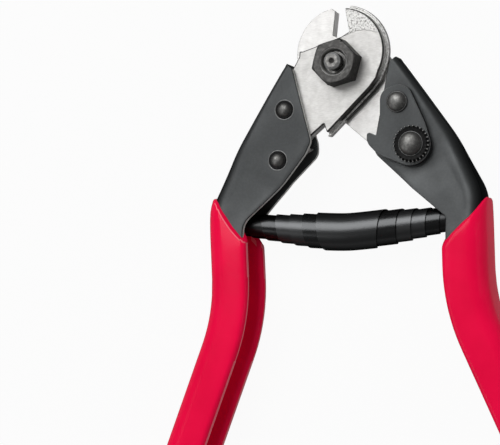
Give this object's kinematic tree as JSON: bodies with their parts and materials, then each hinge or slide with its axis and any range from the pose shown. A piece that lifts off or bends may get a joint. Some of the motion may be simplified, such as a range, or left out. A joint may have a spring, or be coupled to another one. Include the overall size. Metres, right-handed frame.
{
  "type": "wire rope cutter",
  "caption": "One-hand wire rope cutter: two ground blades on a pivot bolt, pressed steel handles with vinyl grips, an opening volute spring and a thumb latch.",
  "frame": {"origin": "on the pivot axis, at the plane that the tool lies on: the back face of the pivot bolt's head, level with the backs of both grips", "axes": "+Z along the pivot axis towards the nut, +Y towards the jaw tips, +X to the right seen from the nut's side; rest pose open"},
  "size_m": [0.1512, 0.1765, 0.0225],
  "materials": {
    "blade_steel": "ground faces, rough forged edges",
    "dark_hardware": "black oxide, satin",
    "black_paint": "satin black",
    "red_vinyl": "glossy dipped vinyl",
    "spring_steel": "satin black"
  },
  "bodies": {
    "left_arm": {"front_blade": "blade_steel", "left_handle": "black_paint", "left_grip": "red_vinyl", "left_upper_rivet": "black_paint", "left_lower_rivet": "black_paint", "left_spring_stud": "dark_hardware", "pivot_bolt": "dark_hardware", "pivot_washer": "dark_hardware", "pivot_nut": "dark_hardware", "volute_spring": "spring_steel"},
    "right_arm": {"back_blade": "blade_steel", "right_handle": "black_paint", "right_grip": "red_vinyl", "right_lower_rivet": "black_paint", "latch_rivet": "black_paint", "latch_washer": "dark_hardware", "right_spring_stud": "dark_hardware"},
    "latch": {"latch_plate": "black_paint", "thumb_disc": "dark_hardware", "thumb_rivet": "dark_hardware"}
  },
  "joints": [
    {"name": "main_pivot", "type": "hinge", "parent": "left_arm", "child": "right_arm", "pos_m": [0, 0, 0.0097], "axis": [0, 0, 1], "range_deg": [-34.5, 0], "stiffness_Nm_per_rad": 1.2, "springref_deg": 17.19, "deforming": ["volute_spring"]},
    {"name": "latch_pivot", "type": "hinge", "parent": "right_arm", "child": "latch", "pos_m": [0.01801, -0.01315, 0.0129], "axis": [0, 0, 1], "range_deg": [-11, 0]}
  ]
}
